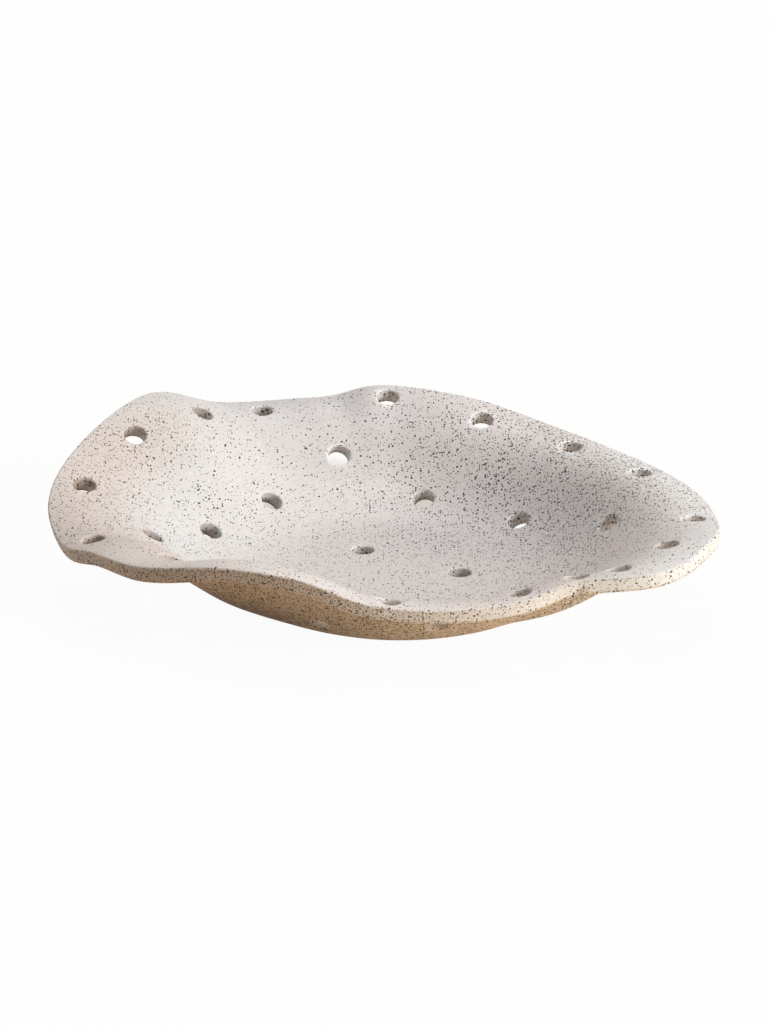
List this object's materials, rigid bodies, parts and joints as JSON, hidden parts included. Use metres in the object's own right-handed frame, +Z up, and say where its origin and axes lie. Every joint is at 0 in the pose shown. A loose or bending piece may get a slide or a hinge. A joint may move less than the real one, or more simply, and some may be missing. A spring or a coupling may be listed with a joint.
{
  "type": "berry colander bowl",
  "caption": "Free-form stoneware colander bowl with a wavy rim, drain holes through its lip, wall and floor, a pale glaze inside and a low notched foot, for rinsing and serving berries.",
  "frame": {"origin": "middle of the foot ring, in the plane on which the foot rests", "axes": "+Z up out of the bowl, +X along the bowl's length to its right-hand tip, +Y to the back"},
  "size_m": [0.2603, 0.1986, 0.0569],
  "materials": {
    "stoneware": "matte",
    "glaze": "satin"
  },
  "bodies": {
    "root": {"bowl_body": "stoneware", "glaze_coat": "glaze", "foot_ring": "stoneware"}
  },
  "joints": []
}
